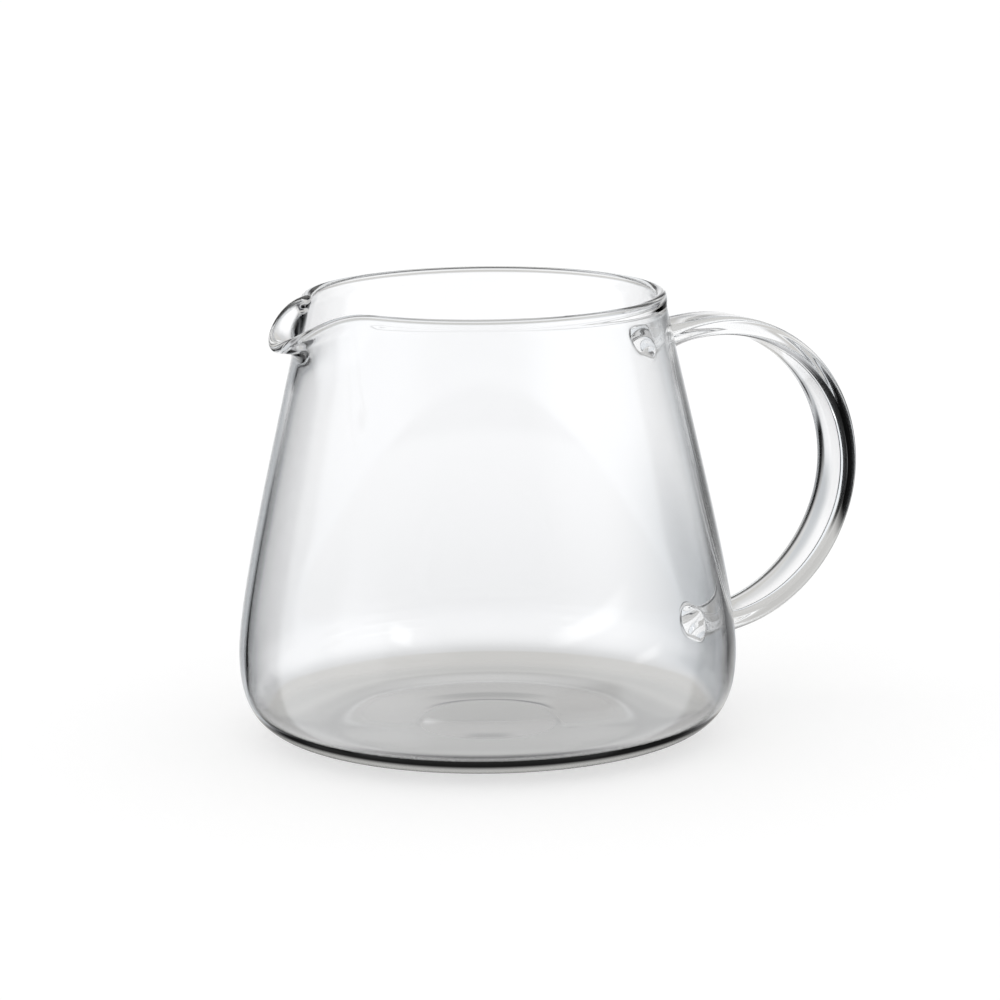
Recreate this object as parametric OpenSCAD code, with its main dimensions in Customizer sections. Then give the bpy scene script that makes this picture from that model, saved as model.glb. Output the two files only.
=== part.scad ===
// Glass coffee server: a blown vessel with a pulled spout, and a strap handle welded to it.
// Millimetres, +Z up. The origin is at the centre of the underside, the handle is on +X and
// the spout on -X.

/* [Vessel] */
// Height from the table to the top of the rim bead
vessel_h = 103.8; // [92:0.1:120]
// Outer radius of the wall at the rim
rim_r = 42.2; // [38:0.1:47]
// Lean of the wall at the rim, from upright, in degrees
rim_lean = 8.5; // [5:0.1:11]
// Outer radius at the belly, the widest place
belly_r = 58.4; // [54:0.1:64]
// Height of the belly above the table
belly_z = 19; // [15:0.1:24]
// Outer radius of the flat underside
foot_r = 36; // [31:0.1:42]
// Thickness of the wall
wall = 2; // [1.7:0.1:2.6]
// Thickness of the base at its centre
base_t = 2.9; // [2.4:0.1:4]
// Radius of the fire-polished bead on the rim
bead_r = 1.35; // [1.2:0.05:1.8]

/* [Mould ring under the base] */
// Inner radius of the shallow ring
ring_in_r = 14.2; // [10:0.1:16]
// Outer radius of the shallow ring
ring_out_r = 18.5; // [17.5:0.1:24]
// Depth of the shallow ring
ring_depth = 0.4; // [0.2:0.1:0.8]
// Width of the ring's sloping sides
ring_side = 0.7; // [0.4:0.1:0.7]

/* [Spout] */
// Distance from the vessel's axis to the tip of the lip
spout_tip_r = 54.1; // [50:0.1:58]
// Drop of the lip's tip below the rim
spout_drop = 7.3; // [5:0.1:9]
// Half of the angle over which the rim is drawn out, in degrees
spout_half_angle = 27; // [22:1:34]
// Upward slope of the lip at its tip, in degrees
spout_lip_angle = 15; // [8:1:24]

/* [Handle] */
// Width of the glass strap
strap_w = 13; // [11.5:0.1:13.8]
// Thickness of the glass strap
strap_t = 4.7; // [4:0.1:5.4]
// Radius of the strap's rounded edges
strap_edge_r = 1.6; // [1:0.1:1.7]
// Distance from the vessel's axis to the strap's middle, at the back of the grip
grip_r = 96.3; // [91:0.1:102]
// Height of the back of the grip
grip_z = 55.6; // [52:0.1:59]
// Distance from the vessel's axis to the crown of the handle
crown_r = 59.4; // [57:0.1:64]
// Height of the strap's middle at the crown
crown_z = 91.5; // [90.7:0.1:94]
// Turn of the shoulder bend below the crown, in degrees
shoulder_angle = 40; // [32:1:48]
// Turn of the upper part of the lower bend, in degrees
elbow_angle = 20; // [14:1:28]

/* [Welds] */
// Width of a weld on the wall
weld_w = 14.2; // [13.9:0.1:15.5]
// Height of a weld on the wall
weld_h = 9.4; // [8:0.1:11]
// Length of the flared neck between the wall and the strap
neck_len = 10; // [8:0.1:12]
// Height of the lower weld's middle below the belly
lower_weld_drop = 0; // [0:0.1:2]

/* [Hidden] */
glass = [0.86, 0.91, 0.92, 0.35];
$fn = 96;

// Shapes of the vessel's curves, as shares of the lengths that they join
heel_foot_share = 0.62;
heel_belly_share = 0.9;
wall_belly_share = 0.2;
wall_rim_share = 0.155;
// How far the inner side keeps to the wall, and to the floor, before it turns into the heel
inner_wall_share = 0.92;
inner_floor_share = 0.84;
// Places along the wall's curve, from the belly at 0 to the rim at 1
spout_root_share = 0.7;
upper_weld_share = 0.783;
// Length of the spout's two bends, as shares of the height that the spout takes
throat_share = 0.5;
lip_share = 0.3;
// Part of the height over which the wall swells into the bead
bead_swell_share = 0.2;
// How much later the lip drops than it reaches out
drop_power = 1.7;
// How fast the neck narrows from the weld to the strap
neck_power = 2.4;

heel_steps = 8;
wall_steps = 5;
lip_steps = 9;
bead_steps = 6;
spout_steps = 24;
plain_steps = 48;
rise_steps = 4;
shoulder_steps = 9;
back_steps = 8;
elbow_steps = 5;
tail_steps = 9;
neck_steps = 10;
corner_steps = 5;
// Step along a curve for measuring its direction
nudge_share = 0.001;
// How far the welds' inner ends run into the wall before the wall's shape is cut away
weld_sink = wall * 0.8;

rim_z = vessel_h - bead_r + wall / 2 * sin(rim_lean);
wall_rise = rim_z - belly_z;

function bezier(p, t) =
    pow(1 - t, 3) * p[0] + 3 * pow(1 - t, 2) * t * p[1] + 3 * (1 - t) * t * t * p[2] + t * t * t * p[3];
function unit(v) = v / norm(v);
function outward(v) = [v[1], -v[0]];
function along(a, b, share) = a + (b - a) * share;

// Outer curves of the heel and the wall, in radius and height
heel_curve = [
    [foot_r, 0],
    [foot_r + heel_foot_share * (belly_r - foot_r), 0],
    [belly_r, belly_z * (1 - heel_belly_share)],
    [belly_r, belly_z]
];
wall_curve = [
    [belly_r, belly_z],
    [belly_r, belly_z + wall_belly_share * wall_rise],
    [rim_r + tan(rim_lean) * wall_rim_share * wall_rise, rim_z - wall_rim_share * wall_rise],
    [rim_r, rim_z]
];
// Inner side of the heel, which turns more sharply than the outer one, so the glass is thickest there
inner_heel_curve = [
    [foot_r, base_t],
    [foot_r + inner_floor_share * (belly_r - wall - foot_r), base_t],
    [belly_r - wall, belly_z - inner_wall_share * (belly_z - base_t)],
    [belly_r - wall, belly_z]
];
function direction(curve, t) = unit(bezier(curve, t + nudge_share) - bezier(curve, t - nudge_share));
function inside(curve, t) = bezier(curve, t) - wall * outward(direction(curve, t));

// The wall is cut level where the spout's root starts
root_out = bezier(wall_curve, spout_root_share);
root_dir = direction(wall_curve, spout_root_share);
root_in = root_out - [wall / root_dir[1], 0];

// Centre line of the spout's outer side, from its root up the wall and out along the lip
spout_rise = rim_z - root_out[1];
lip_dir = [cos(spout_lip_angle), sin(spout_lip_angle)];
lip_mid = [spout_tip_r - bead_r, rim_z - spout_drop];
lip_out = lip_mid + wall / 2 * outward(lip_dir);
spout_curve = [
    root_out,
    root_out + throat_share * spout_rise * root_dir,
    lip_out - lip_share * spout_rise * lip_dir,
    lip_out
];

// Outer side of the worked rim: the plain wall at pull 0 and the spout's middle at pull 1
function rim_side(pull, t) = let (
    plain = bezier(wall_curve, along(spout_root_share, 1, t)),
    drawn = bezier(spout_curve, t)
) [along(plain[0], drawn[0], pull), along(plain[1], drawn[1], pow(pull, drop_power))];
function rim_dir(pull, t) = unit(rim_side(pull, t + nudge_share) - rim_side(pull, t - nudge_share));
function swell(t) = let (s = max(0, (t - 1 + bead_swell_share) / bead_swell_share))
    along(wall / 2, bead_r, s * s * (3 - 2 * s));

// Closed outline through the worked rim: up the outside, round the bead and down the inside
function rim_outline(pull) = let (
    shares = [for (i = [1 : lip_steps]) i / lip_steps],
    mids = [for (t = shares) rim_side(pull, t) - wall / 2 * outward(rim_dir(pull, t))],
    outs = [for (t = shares) outward(rim_dir(pull, t))],
    last = lip_steps - 1
) concat(
    [root_out],
    [for (i = [0 : last]) mids[i] + swell(shares[i]) * outs[i]],
    [for (i = [1 : bead_steps - 1]) let (a = 180 * i / bead_steps)
        mids[last] + bead_r * (cos(a) * outs[last] + sin(a) * rim_dir(pull, 1))],
    [for (i = [last : -1 : 0]) mids[i] - swell(shares[i]) * outs[i]],
    [root_in]
);

// The vessel's whole outline, from under the base up the outside and down to the inner base
function outline(pull) = concat(
    [
        [ring_in_r, 0],
        [ring_in_r + ring_side, ring_depth],
        [ring_out_r - ring_side, ring_depth],
        [ring_out_r, 0]
    ],
    [for (i = [0 : heel_steps - 1]) bezier(heel_curve, i / heel_steps)],
    [for (i = [0 : wall_steps - 1]) bezier(wall_curve, spout_root_share * i / wall_steps)],
    rim_outline(pull),
    [for (i = [wall_steps - 1 : -1 : 0]) inside(wall_curve, spout_root_share * i / wall_steps)],
    [for (i = [heel_steps - 1 : -1 : 0]) bezier(inner_heel_curve, i / heel_steps)],
    [[ring_out_r, base_t]]
);

// Angle from the spout's middle, where the pull is 1, to its shoulders, where it is 0
function spout_pull(a) = abs(a) < spout_half_angle ? pow(cos(90 * a / spout_half_angle), 2) : 0;
function turned(p, a) = [p[0] * cos(a), p[0] * sin(a), p[1]];

module vessel() {
    plain_angle = 360 - 2 * spout_half_angle;
    angles = concat(
        [for (k = [0 : spout_steps - 1]) spout_half_angle * (2 * k / spout_steps - 1)],
        [for (k = [0 : plain_steps - 1]) spout_half_angle + plain_angle * k / plain_steps]
    );
    sides = [for (a = angles) [for (p = outline(spout_pull(a))) turned(p, 180 + a)]];
    count = len(angles);
    n = len(sides[0]);
    under = [[for (k = [0 : count - 1]) k * n]];
    floor_face = [[for (k = [count - 1 : -1 : 0]) k * n + n - 1]];
    skin = [for (k = [0 : count - 1], i = [0 : n - 2]) let (j = (k + 1) % count)
        each [[k * n + i, k * n + i + 1, j * n + i], [j * n + i, k * n + i + 1, j * n + i + 1]]];
    color(glass) polyhedron([for (side = sides) each side], concat(under, floor_face, skin));
}

// Faces of a tube of rings of points, each ring closed, with a cap on either end
function tube_faces(rings, n) = concat(
    [[for (i = [0 : n - 1]) i]],
    [[for (i = [n - 1 : -1 : 0]) (rings - 1) * n + i]],
    [for (k = [0 : rings - 2], i = [0 : n - 1]) let (a = k * n, b = a + n, j = (i + 1) % n)
        each [[a + i, b + i, a + j], [a + j, b + i, b + j]]]
);

module tube(rings) {
    polyhedron([for (ring = rings) each ring], tube_faces(len(rings), len(rings[0])));
}

// Solid of the vessel's outer side, without the rim's bead
module envelope() {
    rotate_extrude() polygon(concat(
        [[0, 0]],
        [for (i = [0 : heel_steps - 1]) bezier(heel_curve, i / heel_steps)],
        [for (i = [0 : wall_steps - 1]) bezier(wall_curve, spout_root_share * i / wall_steps)],
        [for (i = [0 : lip_steps]) rim_side(0, i / lip_steps)],
        [[0, rim_z]]
    ));
}

// Handle's middle line: a long rise from the wall, two bends down to the back of the grip, and
// two more down and in to the lower weld
upper_end = bezier(wall_curve, upper_weld_share);
lower_end = [belly_r, belly_z - lower_weld_drop];
rise_w = crown_r - upper_end[0];
rise_h = crown_z - upper_end[1];
rise_bend_r = (rise_w * rise_w + rise_h * rise_h) / (2 * rise_h);
rise_angle = asin(rise_w / rise_bend_r);
// Radii of two arcs that turn a quarter between them, the first by the angle a, over the
// lengths u along the first direction and v along the last
function first_bend(u, v, a) =
    (u * cos(a) - v * (1 - sin(a))) / (sin(a) * cos(a) - (1 - sin(a)) * (1 - cos(a)));
function second_bend(u, v, a) =
    (v * sin(a) - u * (1 - cos(a))) / (sin(a) * cos(a) - (1 - sin(a)) * (1 - cos(a)));
shoulder_r = first_bend(grip_r - crown_r, crown_z - grip_z, shoulder_angle);
back_r = second_bend(grip_r - crown_r, crown_z - grip_z, shoulder_angle);
elbow_r = first_bend(grip_z - lower_end[1], grip_r - lower_end[0], elbow_angle);
tail_r = second_bend(grip_z - lower_end[1], grip_r - lower_end[0], elbow_angle);
rise_centre = [crown_r, crown_z - rise_bend_r];
tail_centre = [lower_end[0], lower_end[1] + tail_r];
// Turn that a neck's length takes on the first and the last arc
upper_neck_angle = neck_len / rise_bend_r * 180 / PI;
lower_neck_angle = neck_len / tail_r * 180 / PI;

// Rounded rectangle of a width and a thickness, as points round it
function round_box(w, t, edge) = [
    for (k = [0 : 3], i = [0 : corner_steps]) let (
        a = 90 * (k + i / corner_steps),
        x = (k == 0 || k == 3) ? 1 : -1,
        y = (k < 2) ? 1 : -1
    ) [x * (t / 2 - edge) + edge * cos(a), y * (w / 2 - edge) + edge * sin(a)]
];

// A section set on an arc about a centre, square to the arc, at an angle in the handle's plane
function set_on_arc(section, centre, bend_r, a) = [
    for (p = section) [
        centre[0] + (bend_r + p[0]) * cos(a),
        p[1],
        centre[1] + (bend_r + p[0]) * sin(a)
    ]
];
function strap_arc(centre, bend_r, from, to, steps) = [
    for (i = [0 : steps])
        set_on_arc(round_box(strap_w, strap_t, strap_edge_r), centre, bend_r, along(from, to, i / steps))
];
function but_last(v) = [for (i = [0 : len(v) - 2]) v[i]];

module handle() {
    shoulder_end = 90 - shoulder_angle;
    color(glass) tube(concat(
        but_last(strap_arc(rise_centre, rise_bend_r, 90 + rise_angle - upper_neck_angle, 90, rise_steps)),
        but_last(strap_arc([crown_r, crown_z - shoulder_r], shoulder_r, 90, shoulder_end, shoulder_steps)),
        but_last(strap_arc([grip_r - back_r, grip_z], back_r, shoulder_end, 0, back_steps)),
        but_last(strap_arc([grip_r - elbow_r, grip_z], elbow_r, 0, -elbow_angle, elbow_steps)),
        strap_arc(tail_centre, tail_r, -elbow_angle, -90 + lower_neck_angle, tail_steps)
    ));
}

// Section of the neck at a distance s from the wall: the weld's oval there, the strap at its end
function neck_section(s) = let (flare = pow(1 - max(0, s) / neck_len, neck_power)) round_box(
    along(strap_w, weld_w, flare),
    along(strap_t, weld_h, flare),
    along(strap_edge_r, weld_h / 2, flare)
);

// Neck between two angles of an arc, from its end inside the wall out to the strap
module neck(centre, bend_r, from, to) {
    stations = [for (i = [0 : neck_steps]) along(-weld_sink, neck_len, i / neck_steps)];
    turn = (to - from) / neck_len;
    rings = [for (s = stations) set_on_arc(neck_section(s), centre, bend_r, from + turn * s)];
    difference() {
        tube(to < from ? rings : [for (i = [neck_steps : -1 : 0]) rings[i]]);
        envelope();
    }
}

module upper_handle_weld() {
    start = 90 + rise_angle;
    color(glass) neck(rise_centre, rise_bend_r, start, start - upper_neck_angle);
}

module lower_handle_weld() {
    color(glass) neck(tail_centre, tail_r, -90, -90 + lower_neck_angle);
}

vessel();
handle();
upper_handle_weld();
lower_handle_weld();
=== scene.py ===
# %% [markdown]
# # A glass coffee server
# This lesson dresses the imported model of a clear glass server: a blown vessel with a drawn spout
# and a strap handle that is welded on at two places. Clear glass shows every surface it has, the
# inner ones too, so each piece is a closed skin with a real wall thickness.

import math
from functools import partial

import bpy
from mathutils import Matrix, Vector


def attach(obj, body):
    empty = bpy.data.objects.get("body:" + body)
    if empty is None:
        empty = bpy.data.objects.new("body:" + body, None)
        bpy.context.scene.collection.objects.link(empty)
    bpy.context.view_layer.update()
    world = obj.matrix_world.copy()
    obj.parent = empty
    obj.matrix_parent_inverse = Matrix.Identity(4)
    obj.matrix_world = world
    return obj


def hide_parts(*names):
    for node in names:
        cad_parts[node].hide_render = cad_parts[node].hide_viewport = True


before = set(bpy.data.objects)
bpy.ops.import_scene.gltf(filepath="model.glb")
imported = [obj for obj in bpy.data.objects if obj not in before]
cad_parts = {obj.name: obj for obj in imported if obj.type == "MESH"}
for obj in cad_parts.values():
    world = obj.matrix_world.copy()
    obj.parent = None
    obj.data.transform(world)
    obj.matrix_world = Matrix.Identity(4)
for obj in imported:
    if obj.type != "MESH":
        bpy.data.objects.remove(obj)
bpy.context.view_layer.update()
print("solids of the frame:", sorted(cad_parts))

# %% [markdown]
# ## The camera
# The photograph looks down at the server from a little above its rim, with a long lens from about
# a metre away. The handle points back and to the right. Its place was found by matching the
# outline of the vessel, so it is written in real distances.

# %% Set up the camera
CAMERA_AZIMUTH = math.radians(-27.4)
CAMERA_DISTANCE = 1.0433
CAMERA_HEIGHT = 0.2615
CAMERA_ROLL = math.radians(-0.62)
CAMERA_LENS = 163.7
AIM_HEIGHT = 0.0546
AIM_RIGHT = 0.0033
NEAREST_SEEN = 0.01

scene = bpy.context.scene
towards = Vector((math.sin(CAMERA_AZIMUTH), -math.cos(CAMERA_AZIMUTH), 0))
rightwards = Vector((math.cos(CAMERA_AZIMUTH), math.sin(CAMERA_AZIMUTH), 0))
bpy.ops.object.camera_add(location=towards * CAMERA_DISTANCE + Vector((0, 0, CAMERA_HEIGHT)))
camera = bpy.context.object
camera.name = "studio_camera"
camera.data.lens = CAMERA_LENS
aim = rightwards * AIM_RIGHT + Vector((0, 0, AIM_HEIGHT))
turn = (aim - camera.location).to_track_quat("-Z", "Y").to_matrix()
camera.rotation_euler = (turn @ Matrix.Rotation(CAMERA_ROLL, 3, "Z")).to_euler()
camera.data.clip_start = NEAREST_SEEN
scene.camera = camera
print("camera at", tuple(round(v, 3) for v in camera.location))

# %% [markdown]
# ## Two helpers for modelling
# An operator works on what is selected, so everything is deselected before a new primitive is
# added. A finished piece keeps its place in its mesh, so its own origin stays at the frame's.

# %% Helpers for modelling
def deselect_all():
    """Leave edit mode and select nothing."""
    if bpy.context.object and bpy.context.object.mode != "OBJECT":
        bpy.ops.object.mode_set(mode="OBJECT")
    bpy.ops.object.select_all(action="DESELECT")


def finish_piece(piece, name):
    """Put the piece's place into its mesh, smooth it and name it."""
    deselect_all()
    piece.select_set(True)
    bpy.context.view_layer.objects.active = piece
    bpy.ops.object.transform_apply(location=True, rotation=True, scale=True)
    bpy.ops.object.shade_smooth()
    piece.name = name
    piece.data.name = name
    piece.select_set(False)
    print(name, "has", len(piece.data.polygons), "faces")


# %% [markdown]
# ## The vessel's outline
# The vessel was blown and turned, so half of its section says nearly all about it: a flat base
# with a shallow mould ring, a rounded heel, a long wall that leans in, and a bead at the rim where
# a flame has melted the edge. Two Bezier curves give the heel and the wall. The inner side follows
# the wall at its thickness and turns more sharply into the floor, so the glass is thickest at the
# heel, where a dark line runs round the real one.

# %% The vessel's sizes, in metres
VESSEL_HEIGHT = 0.1038
BEAD_RADIUS = 0.00135
RIM_RADIUS = 0.0422
RIM_LEAN = math.radians(8.5)
BELLY_RADIUS = 0.0584
BELLY_HEIGHT = 0.019
FOOT_RADIUS = 0.036
WALL = 0.002
BASE_THICKNESS = 0.0029
RING_INNER = 0.0142
RING_OUTER = 0.0185
RING_DEPTH = 0.0004
RING_SIDE = 0.0007

rim_height = VESSEL_HEIGHT - BEAD_RADIUS + WALL / 2 * math.sin(RIM_LEAN)
wall_rise = rim_height - BELLY_HEIGHT
print("the wall rises", round(wall_rise * 1000, 1), "mm above the belly")

# %% Curves of the heel and the wall
HEEL_FLAT_SHARE = 0.62
HEEL_LOW_SHARE = 0.1
INNER_FLAT_SHARE = 0.84
INNER_DROP_SHARE = 0.92
UPRIGHT_SHARE = 0.2
LEANING_SHARE = 0.155
NUDGE = 0.001


def bezier(points, t):
    """Point on a curve with four control points, at a share t of its run."""
    a, b, c, d = points
    s = 1 - t
    return a * s ** 3 + b * 3 * s * s * t + c * 3 * s * t * t + d * t ** 3


def direction(curve, t):
    """Unit vector along a curve, from two points close to a share t."""
    return (curve(t + NUDGE) - curve(t - NUDGE)).normalized()


def outward(v):
    """A vector of the section turned a quarter clockwise, from upwards to outwards."""
    return Vector((v.y, -v.x))


heel_points = [
    Vector((FOOT_RADIUS, 0)),
    Vector((FOOT_RADIUS + HEEL_FLAT_SHARE * (BELLY_RADIUS - FOOT_RADIUS), 0)),
    Vector((BELLY_RADIUS, BELLY_HEIGHT * HEEL_LOW_SHARE)),
    Vector((BELLY_RADIUS, BELLY_HEIGHT)),
]
wall_points = [
    Vector((BELLY_RADIUS, BELLY_HEIGHT)),
    Vector((BELLY_RADIUS, BELLY_HEIGHT + UPRIGHT_SHARE * wall_rise)),
    Vector((RIM_RADIUS + math.tan(RIM_LEAN) * LEANING_SHARE * wall_rise,
            rim_height - LEANING_SHARE * wall_rise)),
    Vector((RIM_RADIUS, rim_height)),
]
inner_heel_points = [
    Vector((FOOT_RADIUS, BASE_THICKNESS)),
    Vector((FOOT_RADIUS + INNER_FLAT_SHARE * (BELLY_RADIUS - WALL - FOOT_RADIUS),
            BASE_THICKNESS)),
    Vector((BELLY_RADIUS - WALL,
            BELLY_HEIGHT - INNER_DROP_SHARE * (BELLY_HEIGHT - BASE_THICKNESS))),
    Vector((BELLY_RADIUS - WALL, BELLY_HEIGHT)),
]


def heel(t):
    """Outer side of the heel, from the foot to the belly."""
    return bezier(heel_points, t)


def inner_heel(t):
    """Inner side of the heel, from the floor to the belly."""
    return bezier(inner_heel_points, t)


def wall(t):
    """Outer side of the wall, from the belly to the rim."""
    return bezier(wall_points, t)


def inner(curve, t):
    """Point one wall thickness inside a curve of the outer side."""
    return curve(t) - WALL * outward(direction(curve, t))


print("the wall's lean under the rim, in degrees:",
      round(math.degrees(math.atan2(-direction(wall, 1).x, direction(wall, 1).y)), 1))


# %% [markdown]
# ## The spout's middle line
# A spout is drawn while the rim is hot: a paddle pulls a short stretch outwards and a little
# down. Its middle line runs up the wall from the spout's root, bends, and goes out along the lip.
# Between the spout's middle and its shoulders the wall is pulled less and less.

# %% The spout's sizes and the drawn wall
ROOT_SHARE = 0.7
SPOUT_REACH = 0.0541
SPOUT_DROP = 0.0073
SPOUT_HALF_ANGLE = math.radians(27)
LIP_ANGLE = math.radians(15)
DROP_POWER = 1.7
SWELL_SHARE = 0.2
ROOT_HANDLE = 0.5
LIP_HANDLE = 0.3

root_out = wall(ROOT_SHARE)
root_direction = direction(wall, ROOT_SHARE)
root_in = root_out - Vector((WALL / root_direction.y, 0))
spout_rise = rim_height - root_out.y
lip_direction = Vector((math.cos(LIP_ANGLE), math.sin(LIP_ANGLE)))
lip_out = Vector((SPOUT_REACH - BEAD_RADIUS, rim_height - SPOUT_DROP))
lip_out += WALL / 2 * outward(lip_direction)
spout_points = [
    root_out,
    root_out + ROOT_HANDLE * spout_rise * root_direction,
    lip_out - LIP_HANDLE * spout_rise * lip_direction,
    lip_out,
]


def drawn_wall(pull, t):
    """Outer side of the worked wall: plain where the pull is 0, along the spout where it is 1."""
    plain = wall(ROOT_SHARE + (1 - ROOT_SHARE) * t)
    drawn = bezier(spout_points, t)
    drop = max(pull, 0) ** DROP_POWER
    return Vector((plain.x + (drawn.x - plain.x) * pull, plain.y + (drawn.y - plain.y) * drop))


def half_wall(t):
    """Half the glass's thickness, which swells into the bead over the last stretch."""
    s = max(0, (t - 1 + SWELL_SHARE) / SWELL_SHARE)
    return WALL / 2 + (BEAD_RADIUS - WALL / 2) * s * s * (3 - 2 * s)


print("the spout rises over", round(spout_rise * 1000, 1), "mm of the wall")


# %% Outline of the worked rim at a given pull
LIP_STEPS = 24
BEAD_STEPS = 14


def rim_outline(pull):
    """Worked rim from its root outside, over the bead, to its root inside."""
    def side(t):
        return drawn_wall(pull, t)

    shares = [i / LIP_STEPS for i in range(1, LIP_STEPS + 1)]
    outs = [outward(direction(side, t)) for t in shares]
    mids = [side(t) - WALL / 2 * out for t, out in zip(shares, outs)]
    points = [root_out]
    points += [m + half_wall(t) * out for t, m, out in zip(shares, mids, outs)]
    end, out, up = mids[-1], outs[-1], direction(side, 1)
    for i in range(1, BEAD_STEPS):
        a = math.pi * i / BEAD_STEPS
        points.append(end + BEAD_RADIUS * (math.cos(a) * out + math.sin(a) * up))
    points += [m - half_wall(t) * out for t, m, out in reversed(list(zip(shares, mids, outs)))]
    points.append(root_in)
    return points


print("points on the worked rim:", len(rim_outline(0)))

# %% The whole outline, from the axis under the base to the axis inside
HEEL_STEPS = 26
WALL_STEPS = 22
wall_shares = [ROOT_SHARE * i / WALL_STEPS for i in range(WALL_STEPS)]
heel_shares = [i / HEEL_STEPS for i in range(HEEL_STEPS)]
outline = [
    Vector((0, 0)),
    Vector((RING_INNER, 0)),
    Vector((RING_INNER + RING_SIDE, RING_DEPTH)),
    Vector((RING_OUTER - RING_SIDE, RING_DEPTH)),
    Vector((RING_OUTER, 0)),
]
outline += [heel(t) for t in heel_shares]
outline += [wall(t) for t in wall_shares]
outline += rim_outline(0)
outline += [inner(wall, t) for t in reversed(wall_shares)]
outline += [inner_heel(t) for t in reversed(heel_shares)]
outline += [Vector((RING_OUTER, BASE_THICKNESS)), Vector((0, BASE_THICKNESS))]
print("points on the outline:", len(outline))

# %% [markdown]
# ## Turning the vessel
# The outline is drawn by extruding one vertex from point to point, as a glass lathe's template
# would be cut, and Spin turns it about the axis in steps so small that no facets show in what the
# glass bends. The ends of the outline lie on the axis, so the turned skin is closed once its
# doubles are merged.

# %% Draw the outline and spin it
TURN_STEPS = 242
SEED_SIZE = 0.001
MERGE_DISTANCE = 0.00001

deselect_all()
bpy.ops.mesh.primitive_plane_add(size=SEED_SIZE, location=(outline[0].x, 0, outline[0].y))
vessel = bpy.context.object
bpy.ops.object.mode_set(mode="EDIT")
bpy.ops.mesh.select_all(action="SELECT")
bpy.ops.mesh.merge(type="CENTER")
for here, there in zip(outline, outline[1:]):
    step = (there.x - here.x, 0, there.y - here.y)
    bpy.ops.mesh.extrude_region_move(TRANSFORM_OT_translate={"value": step})
bpy.ops.mesh.select_all(action="SELECT")
bpy.ops.mesh.spin(steps=TURN_STEPS, angle=math.tau, center=(0, 0, 0), axis=(0, 0, 1), dupli=False)
bpy.ops.mesh.select_all(action="SELECT")
bpy.ops.mesh.remove_doubles(threshold=MERGE_DISTANCE)
bpy.ops.mesh.normals_make_consistent(inside=False)
finish_piece(vessel, "blown_vessel")

# %% [markdown]
# ## Drawing the spout
# A sculpting brush would pull the rim by eye. Here each vertex of the worked rim moves to the
# same place on the outline that its angle is pulled to, so the wall keeps its thickness and the
# bead stays round all along the lip.

# %% Pull the rim out into the spout
plain_rim = rim_outline(0)
moved = 0
for vertex in vessel.data.vertices:
    place = vertex.co
    if place.z < root_out.y - MERGE_DISTANCE or place.x > 0:
        continue
    angle = math.atan2(place.y, -place.x)
    if abs(angle) >= SPOUT_HALF_ANGLE:
        continue
    pull = math.cos(math.pi / 2 * angle / SPOUT_HALF_ANGLE) ** 2
    flat = Vector((math.hypot(place.x, place.y), place.z))
    nearest = min(range(len(plain_rim)), key=lambda k: (plain_rim[k] - flat).length)
    radius, height = rim_outline(pull)[nearest]
    vertex.co = (-radius * math.cos(angle), radius * math.sin(angle), height)
    moved += 1
vessel.data.update()
print("vertices pulled into the spout:", moved)

# %% [markdown]
# ## The strap handle
# The handle is a flat bar of glass, bent hot into a loop. Its section is a rectangle with melted
# corners, so it starts as a plane whose corners are bevelled, of which only the rim of edges is
# kept. Spin sweeps that ring along one arc after another, as the bar was bent round its formers.
# The arcs' radii follow from where the crown, the grip and the welds lie.

# %% The handle's middle line
STRAP_WIDTH = 0.013
STRAP_THICKNESS = 0.0047
STRAP_EDGE = 0.0016
GRIP_RADIUS = 0.0963
GRIP_HEIGHT = 0.0556
CROWN_RADIUS = 0.0594
CROWN_HEIGHT = 0.0915
SHOULDER_TURN = math.radians(40)
ELBOW_TURN = math.radians(20)
NECK_LENGTH = 0.010
UPPER_WELD_SHARE = 0.783


def two_bends(u, v, turn):
    """Radii of two arcs that meet at a turn and between them go u across and v along."""
    s, c = math.sin(turn), math.cos(turn)
    whole = s * c - (1 - s) * (1 - c)
    return (u * c - v * (1 - s)) / whole, (v * s - u * (1 - c)) / whole


upper_end = wall(UPPER_WELD_SHARE)
lower_end = Vector((BELLY_RADIUS, BELLY_HEIGHT))
rise = Vector((CROWN_RADIUS, CROWN_HEIGHT)) - upper_end
rise_bend = rise.length_squared / (2 * rise.y)
rise_turn = math.asin(rise.x / rise_bend)
shoulder_bend, back_bend = two_bends(GRIP_RADIUS - CROWN_RADIUS, CROWN_HEIGHT - GRIP_HEIGHT,
                                     SHOULDER_TURN)
elbow_bend, tail_bend = two_bends(GRIP_HEIGHT - lower_end.y, GRIP_RADIUS - lower_end.x, ELBOW_TURN)
rise_centre = Vector((CROWN_RADIUS, 0, CROWN_HEIGHT - rise_bend))
shoulder_centre = Vector((CROWN_RADIUS, 0, CROWN_HEIGHT - shoulder_bend))
back_centre = Vector((GRIP_RADIUS - back_bend, 0, GRIP_HEIGHT))
elbow_centre = Vector((GRIP_RADIUS - elbow_bend, 0, GRIP_HEIGHT))
tail_centre = Vector((lower_end.x, 0, lower_end.y + tail_bend))
upper_neck_turn = NECK_LENGTH / rise_bend
lower_neck_turn = NECK_LENGTH / tail_bend
print("bends of the strap, in mm:",
      [round(r * 1000, 1) for r in (rise_bend, shoulder_bend, back_bend, elbow_bend, tail_bend)])

# %% A ring of edges with the strap's section
EDGE_SEGMENTS = 10
BROAD_CUTS = 7
THIN_CUTS = 2
STRAP_CROWN = 0.1


def crowned(across):
    """The melted bar is a little thicker along its middle than near its edges."""
    return Vector((across.x * (1 - STRAP_CROWN * (across.y / STRAP_WIDTH * 2) ** 2), across.y))


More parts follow.
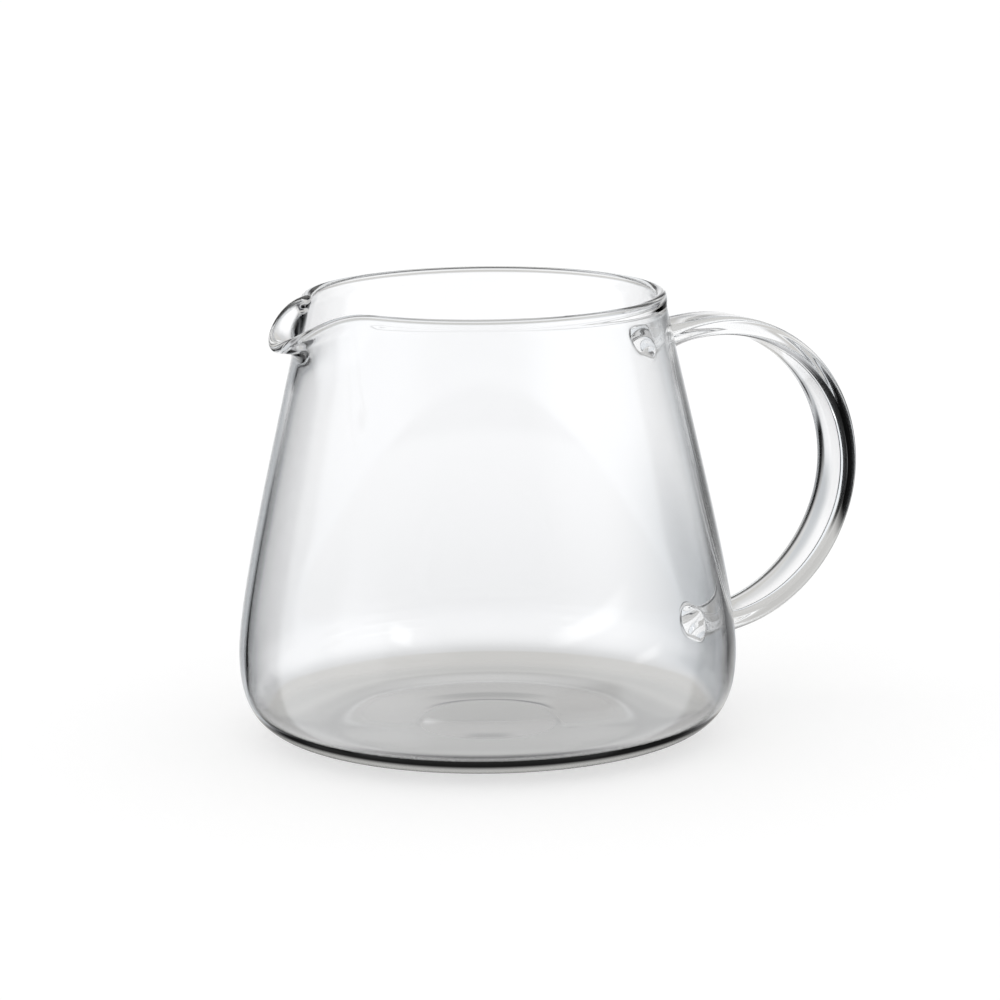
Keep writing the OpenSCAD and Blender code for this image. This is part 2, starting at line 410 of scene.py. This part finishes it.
def add_strap_ring(centre, bend, angle, section):
    """Ring of edges round the strap, square to an arc about a centre, at an angle on it."""
    deselect_all()
    bpy.ops.mesh.primitive_plane_add(size=1)
    ring = bpy.context.object
    ring.scale = (STRAP_THICKNESS, STRAP_WIDTH, 1)
    bpy.ops.object.transform_apply(location=True, rotation=True, scale=True)
    bpy.ops.object.mode_set(mode="EDIT")
    bpy.ops.mesh.select_all(action="SELECT")
    bpy.ops.mesh.bevel(offset=STRAP_EDGE, offset_type="OFFSET", segments=EDGE_SEGMENTS,
                       affect="VERTICES", clamp_overlap=False)
    bpy.ops.mesh.delete(type="ONLY_FACE")
    # The broad sides are cut first, and then every edge that is still long, thin sides too.
    for cuts, shortest in ((BROAD_CUTS, STRAP_WIDTH / 2), (THIN_CUTS, STRAP_EDGE / 2)):
        bpy.ops.object.mode_set(mode="OBJECT")
        points = ring.data.vertices
        for edge in ring.data.edges:
            ends = [points[v].co for v in edge.vertices]
            edge.select = (ends[0] - ends[1]).length > shortest
        for vertex in points:
            vertex.select = False
        for edge in ring.data.edges:
            for v in edge.vertices:
                points[v].select = points[v].select or edge.select
        bpy.ops.object.mode_set(mode="EDIT")
        bpy.ops.mesh.select_mode(type="EDGE")
        bpy.ops.mesh.subdivide(number_cuts=cuts)
    bpy.ops.object.mode_set(mode="OBJECT")
    turn = Matrix.Rotation(-angle, 3, "Y")
    for vertex in ring.data.vertices:
        across = section(vertex.co.to_2d())
        vertex.co = centre + turn @ Vector((bend + across.x, across.y, 0))
    bpy.ops.object.mode_set(mode="EDIT")
    bpy.ops.mesh.select_all(action="SELECT")
    return ring


# %% Helpers that sweep the ring and cap it
SWEEP_STEP = math.radians(2)


def sweep(centre, turn, steps=None):
    """Spin the selected ring about a centre, from +X towards +Z where the turn is positive."""
    bpy.ops.mesh.spin(steps=steps or max(2, round(abs(turn) / SWEEP_STEP)), angle=turn,
                      center=centre, axis=(0, 1, 0), dupli=False)


def close_ring():
    """Cap the selected ring, with a crease round it, so that the sides keep their smoothness."""
    bpy.ops.mesh.edge_face_add()
    bpy.ops.mesh.mark_sharp()


# %% Bend the strap
# A last short step before each cap keeps the smooth shading even up to the end.
LAST_STEP = math.radians(0.1)
SAME_HEIGHT = 0.000001

handle = add_strap_ring(back_centre, back_bend, 0, crowned)
sweep(back_centre, math.pi / 2 - SHOULDER_TURN)
sweep(shoulder_centre, SHOULDER_TURN)
sweep(rise_centre, rise_turn - upper_neck_turn - LAST_STEP)
sweep(rise_centre, LAST_STEP, 1)
close_ring()
bpy.ops.mesh.select_all(action="DESELECT")
bpy.ops.object.mode_set(mode="OBJECT")
for edge in handle.data.edges:
    edge.select = all(abs(handle.data.vertices[v].co.z - GRIP_HEIGHT) < SAME_HEIGHT
                      for v in edge.vertices)
bpy.ops.object.mode_set(mode="EDIT")
sweep(elbow_centre, -ELBOW_TURN)
sweep(tail_centre, -(math.pi / 2 - ELBOW_TURN - lower_neck_turn - LAST_STEP))
sweep(tail_centre, -LAST_STEP, 1)
close_ring()
bpy.ops.mesh.select_all(action="SELECT")
bpy.ops.mesh.normals_make_consistent(inside=False)
finish_piece(handle, "strap_handle")

# %% [markdown]
# ## The welds
# Where the bar was pressed onto the hot wall, its end swelled into an oval foot and flowed into a
# short flared neck. Each neck is the same ring swept on along the handle's own arc. Then every
# ring is eased from the strap's section to the oval, and ends in a small fillet on the wall.

# %% The neck's section
WELD_WIDTH = 0.0142
WELD_HEIGHT = 0.0094
WELD_FILLET = 0.0008


def flared(across, share, swell):
    """Move a point of the strap's section towards the same point of the weld's oval."""
    core = Vector((STRAP_THICKNESS / 2 - STRAP_EDGE, STRAP_WIDTH / 2 - STRAP_EDGE))
    nearest = Vector((max(-core.x, min(core.x, across.x)), max(-core.y, min(core.y, across.y))))
    away = (across - nearest) / STRAP_EDGE
    edge = STRAP_EDGE + (WELD_HEIGHT / 2 - WELD_FILLET - STRAP_EDGE) * share
    thick = STRAP_THICKNESS + (WELD_HEIGHT - 2 * WELD_FILLET - STRAP_THICKNESS) * share
    wide = STRAP_WIDTH + (WELD_WIDTH - 2 * WELD_FILLET - STRAP_WIDTH) * share
    moved_core = Vector((nearest.x / core.x * (thick / 2 - edge),
                         nearest.y / core.y * (wide / 2 - edge)))
    return crowned(moved_core + away * (edge + swell))


# %% Where a neck meets the wall
# The neck's end sinks a little into the wall's outer side, so that no gap shows between them.
WALL_SINK = 0.00004
WALL_REACH = 0.006
HALVINGS = 30


def outer_radius(height):
    """Radius of the vessel's outer side at a height on the wall or the heel."""
    curve = wall if height > BELLY_HEIGHT else heel
    low, high = 0.0, 1.0
    for _ in range(HALVINGS):
        middle = (low + high) / 2
        low, high = (middle, high) if curve(middle).y < height else (low, middle)
    return curve(low).x


def wall_angle(centre, radius, y, near):
    """Angle at which a line of the neck, at a radius about the arc's centre, meets the wall."""
    def outside(angle):
        x, z = centre.x + radius * math.cos(angle), centre.z + radius * math.sin(angle)
        return math.hypot(x, y) > outer_radius(z) - WALL_SINK

    low, high = near - WALL_REACH / radius, near + WALL_REACH / radius
    first = outside(low)
    for _ in range(HALVINGS):
        middle = (low + high) / 2
        low, high = (middle, high) if outside(middle) == first else (low, middle)
    return low


print("the wall's radius at the upper weld, in mm:", round(outer_radius(upper_end.y) * 1000, 1))

# %% Make the two necks
NECK_POWER = 2.4
NECK_STEPS = 28
SAME_PLACE_DIGITS = 7


def make_neck(name, centre, bend, weld_angle, turn):
    """Neck along an arc from the wall, at weld_angle, to the strap, a turn further on."""
    neck = add_strap_ring(centre, bend, weld_angle + turn, Vector)
    sweep(centre, -turn, NECK_STEPS)
    bpy.ops.object.mode_set(mode="OBJECT")
    ends = {}
    for vertex in neck.data.vertices:
        place = vertex.co - centre
        share = (math.atan2(place.z, place.x) - weld_angle) / turn
        across = Vector((math.hypot(place.x, place.z) - bend, place.y))
        key = (round(across.x, SAME_PLACE_DIGITS), round(across.y, SAME_PLACE_DIGITS))
        # Each line along the neck ends where it meets the wall.
        if key not in ends:
            foot = flared(across, 1, WELD_FILLET)
            ends[key] = wall_angle(centre, bend + foot.x, foot.y, weld_angle)
        # The share is squared, so that the rings stand closer where the fillet curves.
        share = max(0, min(1, share)) ** 2
        close = max(0, 1 - share * NECK_LENGTH / WELD_FILLET)
        swell = WELD_FILLET * (1 - math.sqrt(1 - close * close))
        across = flared(across, (1 - share) ** NECK_POWER, swell)
        angle = ends[key] + (weld_angle + turn - ends[key]) * share
        vertex.co = centre + Vector(((bend + across.x) * math.cos(angle), across.y,
                                     (bend + across.x) * math.sin(angle)))
    bpy.ops.object.mode_set(mode="EDIT")
    close_ring()
    bpy.ops.mesh.select_all(action="DESELECT")
    bpy.ops.mesh.select_mode(type="EDGE")
    bpy.ops.mesh.select_non_manifold(extend=False, use_wire=True, use_boundary=True,
                                     use_multi_face=False, use_non_contiguous=False,
                                     use_verts=False)
    close_ring()
    bpy.ops.mesh.select_all(action="SELECT")
    bpy.ops.mesh.normals_make_consistent(inside=False)
    finish_piece(neck, name)
    return neck


upper_weld = make_neck("upper_weld", rise_centre, rise_bend, math.pi / 2 + rise_turn,
                       -upper_neck_turn)
lower_weld = make_neck("lower_weld", tail_centre, tail_bend, -math.pi / 2, lower_neck_turn)

# %% [markdown]
# ## Clear glass
# Borosilicate glass bends light a little less than window glass and has hardly any colour: only
# where one looks along a wall does it turn a cool grey. The handle and its welds are one lump of
# glass with the wall, but they are pieces of their own here, so the faces where they join have to
# vanish. A face attribute marks the caps, and on the vessel the weld's oval is worked out from
# the same arc that the neck follows. Light that has been mirrored three times, or has met ten
# faces, goes straight on, because it would otherwise end in the glass as a dark speck.

# %% Mark the caps of the handle and the welds
QUAD_CORNERS = 4

for piece in (handle, upper_weld, lower_weld):
    caps = piece.data.attributes.new("fused", "FLOAT", "FACE")
    for face in piece.data.polygons:
        caps.data[face.index].value = 1.0 if len(face.vertices) > QUAD_CORNERS else 0.0
    print(piece.name, "has", sum(1 for c in caps.data if c.value > 0), "fused caps")


# %% Helpers for node materials
def new_material(name):
    """An empty node material, with its nodes and links."""
    material = bpy.data.materials.new(name)
    material.use_nodes = True
    nodes = material.node_tree.nodes
    nodes.clear()
    return material, nodes, material.node_tree.links


def math_node(nodes, links, operation, *inputs):
    """Output of a Math node whose inputs are numbers or other nodes' outputs."""
    node = nodes.new("ShaderNodeMath")
    node.operation = operation
    for socket, value in zip(node.inputs, inputs):
        if isinstance(value, (int, float)):
            socket.default_value = value
        else:
            links.new(value, socket)
    return node.outputs[0]


def weld_mask(nodes, links, x, y, z, centre, bend, low, high):
    """1 inside a weld's oval on the outer side of the wall, between two heights."""
    do = partial(math_node, nodes, links)
    dx = do("SUBTRACT", x, centre.x)
    dz = do("SUBTRACT", z, centre.z)
    distance = do("SQRT", do("ADD", do("MULTIPLY", dx, dx), do("MULTIPLY", dz, dz)))
    across = do("SUBTRACT", distance, bend)
    beyond = do("MAXIMUM", do("SUBTRACT", do("ABSOLUTE", y), (WELD_WIDTH - WELD_HEIGHT) / 2), 0.0)
    spread = do("SQRT", do("ADD", do("MULTIPLY", across, across),
                           do("MULTIPLY", beyond, beyond)))
    oval = do("LESS_THAN", spread, WELD_HEIGHT / 2)
    heights = do("MULTIPLY", do("GREATER_THAN", z, low), do("LESS_THAN", z, high))
    return do("MULTIPLY", oval, heights)


# %% The glass
GLASS_IOR = 1.47
GLASS_TINT = (0.974, 0.977, 0.981, 1)
MOST_MIRRORED = 2.5
MOST_CROSSED = 9.5
UPPER_OVAL_HEIGHTS = (0.078, 0.098)
LOWER_OVAL_HEIGHTS = (0.009, 0.028)
LEAN_SPAN = 0.05
SKIN_SHARE = 0.6


def oval_mask(nodes, links):
    """1 on the vessel's outer side where a weld is fused to it."""
    do = partial(math_node, nodes, links)
    place = nodes.new("ShaderNodeTexCoord")
    split = nodes.new("ShaderNodeSeparateXYZ")
    links.new(place.outputs["Object"], split.inputs[0])
    x, y, z = split.outputs
    upper = weld_mask(nodes, links, x, y, z, rise_centre, rise_bend, *UPPER_OVAL_HEIGHTS)
    lower = weld_mask(nodes, links, x, y, z, tail_centre, tail_bend, *LOWER_OVAL_HEIGHTS)
    # Only the wall's outer side is fused, so a point has to lie outside the wall's middle.
    radius = do("SQRT", do("ADD", do("MULTIPLY", x, x), do("MULTIPLY", y, y)))
    lean = wall(UPPER_WELD_SHARE + LEAN_SPAN) - wall(UPPER_WELD_SHARE - LEAN_SPAN)
    slope = lean.x / lean.y
    upper_wall = do("SUBTRACT", radius, do("MULTIPLY", do("SUBTRACT", z, upper_end.y), slope))
    upper = do("MULTIPLY", upper, do("GREATER_THAN", upper_wall, upper_end.x - WALL / 2))
    lower = do("MULTIPLY", lower, do("GREATER_THAN", radius, BELLY_RADIUS - WALL * SKIN_SHARE))
    front = do("GREATER_THAN", x, 0.0)
    return do("MULTIPLY", do("MAXIMUM", upper, lower), front)


def glass_material(name, with_ovals):
    """Clear glass whose fused faces vanish, and all its faces to light trapped for too long."""
    material, nodes, links = new_material(name)
    do = partial(math_node, nodes, links)
    output = nodes.new("ShaderNodeOutputMaterial")
    glass = nodes.new("ShaderNodeBsdfPrincipled")
    glass.inputs["Base Color"].default_value = GLASS_TINT
    glass.inputs["Roughness"].default_value = 0
    glass.inputs["IOR"].default_value = GLASS_IOR
    glass.inputs["Transmission Weight"].default_value = 1
    links.new(glass.outputs["BSDF"], output.inputs["Surface"])
    if with_ovals:
        fused = oval_mask(nodes, links)
    else:
        attribute = nodes.new("ShaderNodeAttribute")
        attribute.attribute_name = "fused"
        fused = attribute.outputs["Fac"]
    rays = nodes.new("ShaderNodeLightPath")
    mirrored = do("GREATER_THAN", rays.outputs["Glossy Depth"], MOST_MIRRORED)
    crossed = do("GREATER_THAN", rays.outputs["Ray Depth"], MOST_CROSSED)
    gone = do("MAXIMUM", fused, do("MAXIMUM", mirrored, crossed))
    links.new(do("SUBTRACT", 1.0, gone), glass.inputs["Alpha"])
    print("material", name, "has", len(nodes), "nodes")
    return material


blown_glass = glass_material("blown_glass", True)
drawn_glass = glass_material("drawn_glass", False)

# %% Give each piece its glass
for piece, node, material in ((vessel, "vessel", blown_glass),
                              (handle, "handle", drawn_glass),
                              (upper_weld, "upper_handle_weld", drawn_glass),
                              (lower_weld, "lower_handle_weld", drawn_glass)):
    piece.data.materials.clear()
    piece.data.materials.append(material)
    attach(piece, "root")
    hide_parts(node)
    print(piece.name, "stands for", node)

# %% [markdown]
# ## The table
# Clear glass is drawn by what stands beside it, so the table and the room are plain white to the
# camera, and other things to a ray that the glass has bent or mirrored. The table is partly paint,
# which takes the server's soft shadow, and partly light of its own, which keeps it white. A bent
# ray passes through it. Only right under the base does it meet a grey disc of painted shade, as
# the real base shows its own shade, and on the disc's near side a dark curved band of painted
# shadow under the heel, which draws the line round the heel.

# %% Helpers for the stage
def bent_ray(nodes, links):
    """1 for a ray that glass has bent or mirrored, 0 for one from the camera or off the table."""
    rays = nodes.new("ShaderNodeLightPath")
    return math_node(nodes, links, "MAXIMUM", rays.outputs["Is Glossy Ray"],
                     rays.outputs["Is Transmission Ray"])


def eased(nodes, links, value, none, full):
    """0 at one value and 1 at the other, with a soft step between them."""
    ramp = nodes.new("ShaderNodeMapRange")
    ramp.interpolation_type = "SMOOTHSTEP"
    links.new(value, ramp.inputs["Value"])
    ramp.inputs["From Min"].default_value = none
    ramp.inputs["From Max"].default_value = full
    return ramp.outputs[0]


# %% Lay the table, a little under the glass
TABLE_RADIUS = 6
TABLE_CORNERS = 96
TABLE_DEPTH = 0.0005
TABLE_WHITE = 0.98
TABLE_GLOW = (1.08, 1.08, 1.08, 1)
TABLE_GLOW_SHARE = 0.52

deselect_all()
bpy.ops.mesh.primitive_circle_add(vertices=TABLE_CORNERS, radius=TABLE_RADIUS, fill_type="NGON",
                                  location=(0, 0, -TABLE_DEPTH))
table = bpy.context.object
table.name = "table_top"
material, nodes, links = new_material("pale_table")
paint = nodes.new("ShaderNodeBsdfDiffuse")
paint.inputs["Color"].default_value = (TABLE_WHITE, TABLE_WHITE, TABLE_WHITE, 1)
glow = nodes.new("ShaderNodeEmission")
glow.inputs["Color"].default_value = TABLE_GLOW
bright = nodes.new("ShaderNodeMixShader")
bright.inputs["Fac"].default_value = TABLE_GLOW_SHARE
links.new(paint.outputs[0], bright.inputs[1])
links.new(glow.outputs[0], bright.inputs[2])
table.data.materials.append(material)
print("the table is", 2 * TABLE_RADIUS, "m across")

# %% The shade under the base, for bent rays only
# Painted shade: a grey disc under the base, and a dark curved band of painted shadow under the
# heel.
SHADE_EDGE = (0.060, 0.052)
SHADE_COLOUR = (0.60, 0.595, 0.58, 1)
HEEL_SHADOW_COLOUR = (0.01, 0.01, 0.01, 1)
HEEL_SHADOW_SHIFT = 0.025
HEEL_SHADOW_EDGE = (0.0588, 0.0645)

place = nodes.new("ShaderNodeTexCoord")


def distance_from(x, y):
    """How far a point of the table is from a place on it."""
    apart = nodes.new("ShaderNodeVectorMath")
    apart.operation = "DISTANCE"
    links.new(place.outputs["Object"], apart.inputs[0])
    apart.inputs[1].default_value = (x, y, 0)
    return apart.outputs["Value"]


# The heel's painted shadow is a dark curved band about a centre set back from the camera.
shift = -HEEL_SHADOW_SHIFT * towards
heel_shadow = eased(nodes, links, distance_from(shift.x, shift.y), *HEEL_SHADOW_EDGE)
tone = nodes.new("ShaderNodeMixRGB")
links.new(heel_shadow, tone.inputs["Fac"])
tone.inputs["Color1"].default_value = SHADE_COLOUR
tone.inputs["Color2"].default_value = HEEL_SHADOW_COLOUR
shade = nodes.new("ShaderNodeEmission")
links.new(tone.outputs[0], shade.inputs["Color"])
clear = nodes.new("ShaderNodeBsdfTransparent")
under = nodes.new("ShaderNodeMixShader")
links.new(eased(nodes, links, distance_from(0, 0), *SHADE_EDGE), under.inputs["Fac"])
links.new(clear.outputs[0], under.inputs[1])
links.new(shade.outputs[0], under.inputs[2])
either = nodes.new("ShaderNodeMixShader")
links.new(bent_ray(nodes, links), either.inputs["Fac"])
links.new(bright.outputs[0], either.inputs[1])
links.new(under.outputs[0], either.inputs[2])
output = nodes.new("ShaderNodeOutputMaterial")
links.new(either.outputs[0], output.inputs["Surface"])
print("material", material.name, "has", len(nodes), "nodes")

# %% [markdown]
# ## The cards round the glass
# A photographer puts a bright card straight behind clear glass and dark cards at both sides, just
# out of view, because its curved edges look sideways and turn dark against a white ground. Here
# the cards are drawn into the world and not stood up as meshes, so that only bent rays see them
# and their edges can be as soft as a lamp's.

# %% The cards' places and colours
# Each card has the angle at which it stands round the camera's line of sight (left is positive),
# its height above the horizon, half its width and half its height, all in degrees, the softness
# of its edge, and its colour. A later card hides an earlier one.
CARDS = {
    "behind_the_camera": (183, -11, 32, 24, 0.9, (0.36, 0.37, 0.38)),
    "left_softbox": (110, -25, 39, 20, 0.45, (1.05, 1.08, 1.11)),
    "right_softbox": (-105, -18, 30, 24, 0.5, (0.90, 0.93, 0.96)),
    "left_wing": (46, -29, 20.5, 28.2, 0.1, (0, 0, 0)),
    "left_far_wing": (55.5, -8, 12.3, 23, 0.23, (0, 0, 0)),
    "right_wing": (-40.8, -31.2, 30.4, 28, 0.1, (0, 0, 0)),
    "right_far_wing": (-36.5, 8.6, 8, 7.5, 0.29, (0.07, 0.07, 0.08)),
    "above": (-2, 10.5, 18, 5, 0.39, (0.23, 0.23, 0.24)),
    "above_far": (0, 24, 9, 5, 0.6, (0.46, 0.46, 0.45)),
    "table_front": (-7, -26, 22, 15, 0.39, (0.71, 0.71, 0.71)),
    "table_glow": (0, -31, 15, 4.5, 0.25, (0.95, 0.95, 0.95)),
    "table_shade": (12, -53.6, 34, 11.7, 0.32, (0.51, 0.51, 0.52)),
    "table_edge": (0, -51, 20, 8, 0.4, (0.03, 0.03, 0.03)),
    "bright_card": (1.6, -1, 12.2, 12.3, 0.29, (1.07, 1.07, 1.075)),
    "table_far": (-2, -22, 17, 4.9, 0.12, (0.64, 0.63, 0.61)),
    "right_corner": (-10, -13, 5.5, 2.6, 0.4, (0.60, 0.62, 0.64)),
    "upper_right_softbox": (-100, 45, 50, 36, 0.2, (1.08, 1.08, 1.08)),
    "behind_right": (-134, -12, 17, 7, 0.3, (0.05, 0.05, 0.05)),
    "side_glow": (24, 1.5, 9, 6, 0.2, (0.97, 0.97, 0.98)),
    "left_glow": (118, -1, 13, 8, 0.35, (1.0, 1.01, 1.02)),
    "left_window": (139, 5, 5, 0.9, 0.5, (1.9, 1.9, 1.9)),
    "right_window": (-129, 5, 17, 0.9, 0.5, (1.9, 1.9, 1.9)),
    "side_window": (-101, -2, 7, 0.8, 0.5, (2, 2, 2)),
}
print("cards round the glass:", len(CARDS))

# %% The room
world = bpy.data.worlds.new("white_room")
scene.world = world
world.use_nodes = True
nodes, links = world.node_tree.nodes, world.node_tree.links
nodes.clear()
number = partial(math_node, nodes, links)


def blend(share, first, second):
    """Mix of two colours, each a colour or another node's output."""
    mix = nodes.new("ShaderNodeMixRGB")
    for socket, value in zip(mix.inputs, (share, first, second)):
        if isinstance(value, bpy.types.NodeSocket):
            links.new(value, socket)
        else:
            socket.default_value = (*value, 1)
    return mix.outputs[0]


# %% Hang the cards in the room
ROOM_WHITE = (1, 1, 1)
ROOM_ABOVE = (0.62, 0.615, 0.60)
ROOM_BELOW = (0.62, 0.64, 0.66)
ROOM_BLEND = (-6.0, 9.8)
CARD_SQUARENESS = 4
UNDER_EDGE = (-64.9, -71.5)
UNDER_COLOUR = (0.46, 0.46, 0.46)

place = nodes.new("ShaderNodeTexCoord")
split = nodes.new("ShaderNodeSeparateXYZ")
links.new(place.outputs["Generated"], split.inputs[0])
around = number("ARCTAN2", split.outputs["Y"], split.outputs["X"])
height = number("DEGREES", number("ARCSINE", split.outputs["Z"]))
ahead = math.pi / 2 + CAMERA_AZIMUTH
light = blend(eased(nodes, links, height, *ROOM_BLEND), ROOM_BELOW, ROOM_ABOVE)
for name, (angle, level, half_width, half_height, soft, colour) in CARDS.items():
    sideways = number("SUBTRACT", around, ahead + math.radians(angle))
    sideways = number("DEGREES", number("WRAP", sideways, math.pi, -math.pi))
    sideways = number("ABSOLUTE", number("DIVIDE", sideways, half_width))
    upwards = number("ABSOLUTE", number("DIVIDE", number("SUBTRACT", height, level), half_height))
    spread = number("ADD", number("POWER", sideways, CARD_SQUARENESS),
                    number("POWER", upwards, CARD_SQUARENESS))
    spread = number("POWER", spread, 1 / CARD_SQUARENESS)
    light = blend(eased(nodes, links, spread, 1 + soft, 1 - soft), light, colour)
light = blend(eased(nodes, links, height, *UNDER_EDGE), light, UNDER_COLOUR)
light = blend(bent_ray(nodes, links), ROOM_WHITE, light)
background = nodes.new("ShaderNodeBackground")
links.new(light, background.inputs["Color"])
background.inputs["Strength"].default_value = 1
output = nodes.new("ShaderNodeOutputWorld")
links.new(background.outputs[0], output.inputs["Surface"])
scene.view_settings.view_transform = "Standard"
print("the room has", len(nodes), "nodes")
